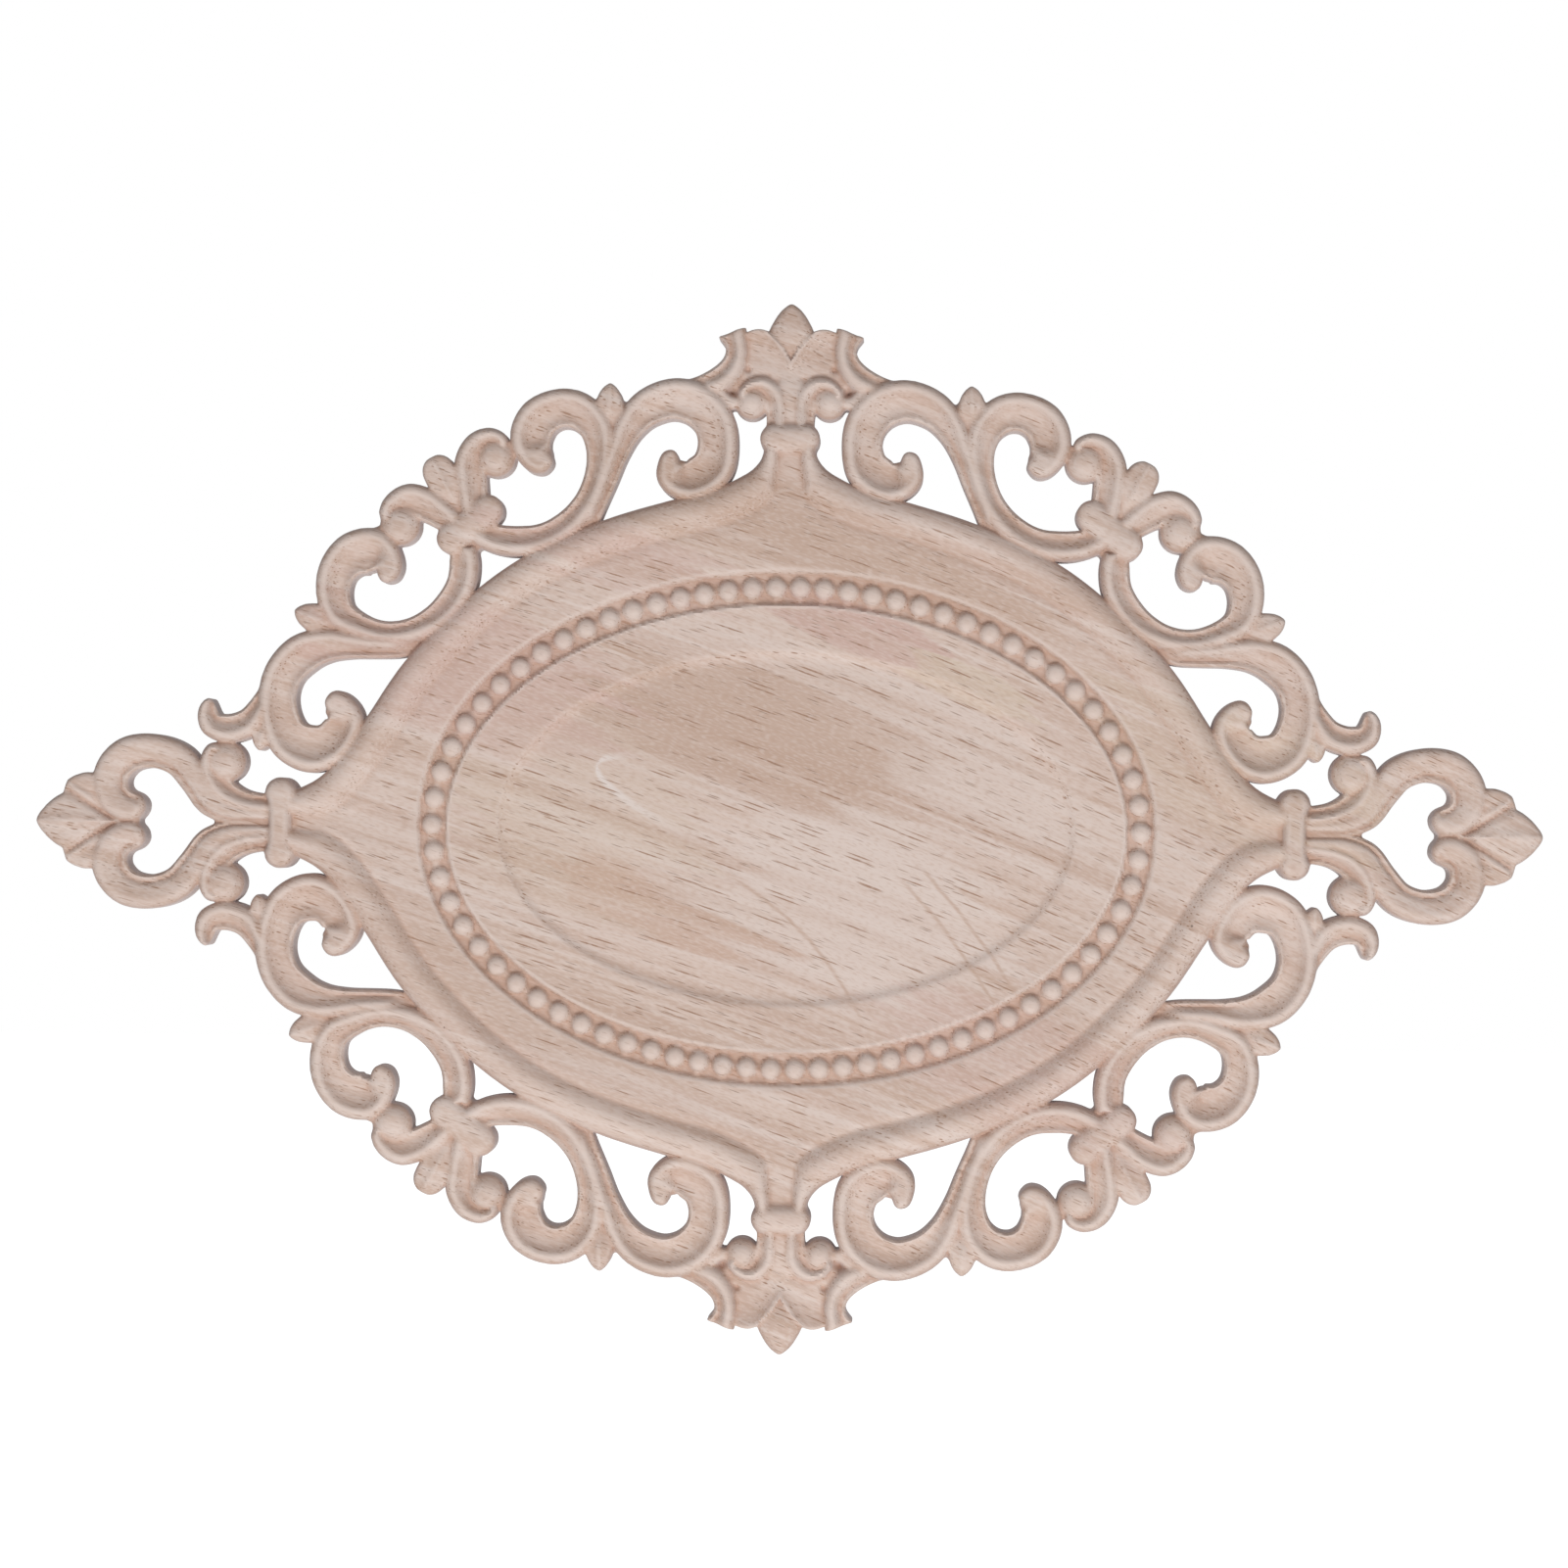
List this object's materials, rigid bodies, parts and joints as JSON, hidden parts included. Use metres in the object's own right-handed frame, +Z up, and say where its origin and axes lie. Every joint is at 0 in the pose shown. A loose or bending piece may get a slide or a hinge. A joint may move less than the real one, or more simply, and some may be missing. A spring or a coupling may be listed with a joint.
{
  "type": "carved wood applique",
  "caption": "Pointed-oval carved wood applique with a dished oval centre, a beaded ring, a rolled frame and an openwork border of scrolls and leaves; flat back.",
  "frame": {"origin": "centre of the flat back face", "axes": "+X along the length, +Z up the height, +Y out of the back face into the surface that carries it; the carving faces -Y"},
  "size_m": [0.5, 0.0158, 0.3486],
  "materials": {
    "wood": "bare sanded pale pinkish-beige hardwood with fine brown pore streaks"
  },
  "bodies": {
    "root": {"carved_applique": "wood"}
  },
  "joints": []
}
